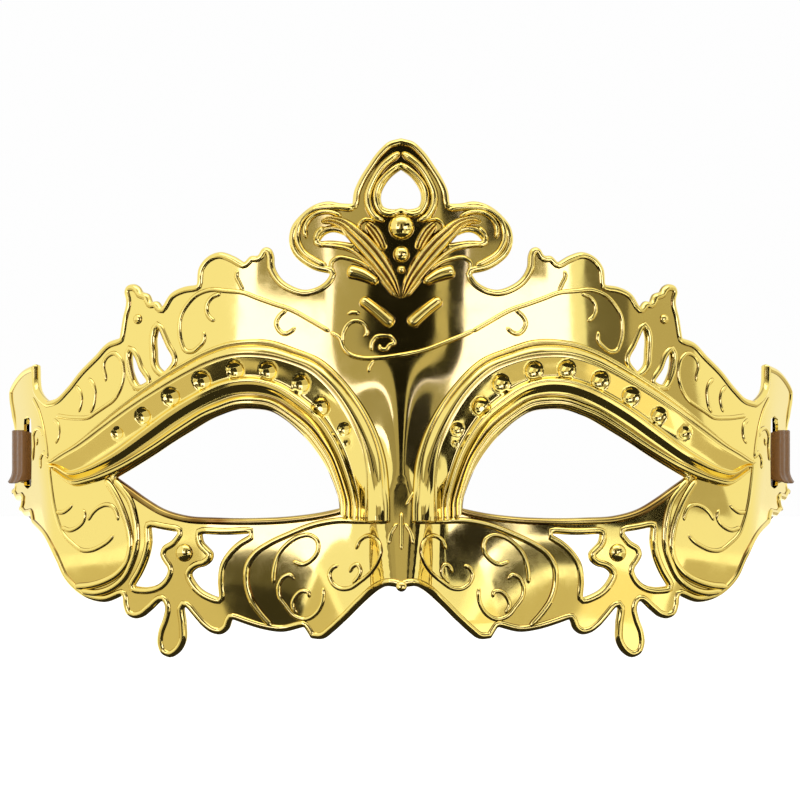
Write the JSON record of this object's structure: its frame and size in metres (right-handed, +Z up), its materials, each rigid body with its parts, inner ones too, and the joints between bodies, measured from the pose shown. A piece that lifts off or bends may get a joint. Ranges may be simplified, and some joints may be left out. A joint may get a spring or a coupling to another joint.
{
  "type": "venetian masquerade mask",
  "caption": "Wearable half mask with pierced scrollwork crest and cheek drops, moulded in one shell and plated gold, with rolled satin tie ribbons at the temples.",
  "frame": {"origin": "bridge of the wearer's nose, on the centre plane between the eyes, just behind the shell", "axes": "+X to the right as seen from the front, +Y from the mask towards the wearer's head, +Z up to the crest; the mask faces -Y"},
  "size_m": [0.188, 0.0802, 0.1195],
  "materials": {
    "gold_plate": "mirror gold plating over moulded plastic",
    "satin_ribbon": "bronze-brown polyester satin",
    "twist_tie": "gold foil-covered twist wire"
  },
  "bodies": {
    "mask": {"mask_shell": "gold_plate", "left_ribbon_loop": "satin_ribbon", "left_ribbon_knot": "satin_ribbon", "right_ribbon_loop": "satin_ribbon", "right_ribbon_knot": "satin_ribbon"},
    "left_ribbon_tail": {"left_ribbon_strap": "satin_ribbon", "left_ribbon_roll": "satin_ribbon", "left_roll_tie": "twist_tie"},
    "right_ribbon_tail": {"right_ribbon_strap": "satin_ribbon", "right_ribbon_roll": "satin_ribbon", "right_roll_tie": "twist_tie"}
  },
  "joints": [
    {"name": "left_tail_swing", "type": "hinge", "parent": "mask", "child": "left_ribbon_tail", "pos_m": [-0.08537, 0.05559, 0.0055], "axis": [0.9398, 0.3417, 0], "range_deg": [-25, 90]},
    {"name": "right_tail_swing", "type": "hinge", "parent": "mask", "child": "right_ribbon_tail", "pos_m": [0.08537, 0.05559, 0.0055], "axis": [0.9398, -0.3417, 0], "range_deg": [-25, 90]}
  ]
}
